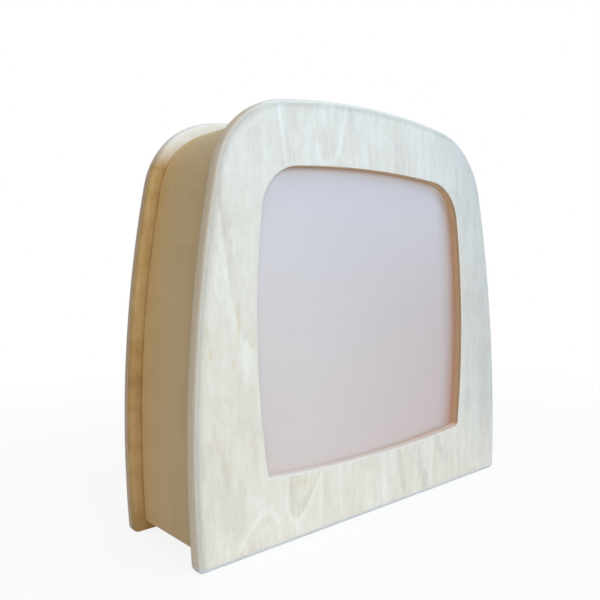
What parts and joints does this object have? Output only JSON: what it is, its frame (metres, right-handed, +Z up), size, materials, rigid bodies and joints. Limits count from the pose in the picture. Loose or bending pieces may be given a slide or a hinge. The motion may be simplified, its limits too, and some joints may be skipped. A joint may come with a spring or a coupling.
{
  "type": "wooden light box",
  "caption": "Free-standing plywood light box: rounded front and rear panels on a bent band, a frosted window lit from behind, a rear rocker switch and a low-voltage inlet.",
  "frame": {"origin": "on the floor, under the middle of the case", "axes": "+Z up, +Y towards the rear panel, +X to the right seen from the front"},
  "size_m": [0.251, 0.077, 0.24],
  "materials": {
    "birch_panel": "sanded birch plywood, clear matt oil",
    "birch_band": "bent birch plywood, clear matt oil",
    "opal_acrylic": "frosted opal acrylic",
    "white_board": "matt white laminate",
    "white_plastic": "satin",
    "led_phosphor": "cast resin",
    "red_insulation": "soft wire insulation",
    "black_insulation": "soft wire insulation",
    "black_plastic": "fine textured",
    "zinc_steel": "zinc plated",
    "brass": "bright"
  },
  "bodies": {
    "case": {"front_panel": "birch_panel", "rear_panel": "birch_panel", "side_band": "birch_band", "bottom_board": "birch_band", "corner_blocks": "birch_band", "front_frame": "birch_band", "rear_frame": "birch_band", "frame_screws": "zinc_steel", "rear_inserts": "brass", "rear_screws": "zinc_steel", "diffuser_pane": "opal_acrylic", "led_backboard": "white_board", "board_spacers": "white_plastic", "board_screws": "zinc_steel", "led_strips": "white_plastic", "led_chips": "led_phosphor", "strip_jumpers": "red_insulation", "feed_lead": "red_insulation", "switched_lead": "red_insulation", "return_lead": "black_insulation", "lead_clips": "white_plastic", "switch_housing": "black_plastic", "switch_terminals": "brass", "jack_body": "zinc_steel", "jack_pin": "zinc_steel", "jack_terminals": "zinc_steel", "jack_nut": "zinc_steel"},
    "rocker": {"switch_rocker": "black_plastic", "switch_plunger": "brass"},
    "contact": {"switch_contact": "brass"}
  },
  "joints": [
    {"name": "rocker_tilt", "type": "hinge", "parent": "case", "child": "rocker", "pos_m": [0.015, 0.032, 0.038], "axis": [1, 0, 0], "range_deg": [0, 20]},
    {"name": "contact_tilt", "type": "hinge", "parent": "case", "child": "contact", "pos_m": [0.015, 0.02225, 0.038], "axis": [1, 0, 0], "range_deg": [-12, 0]}
  ],
  "couplings": [
    {"joint": "contact_tilt", "follows": "rocker_tilt", "ratio": -0.6}
  ]
}
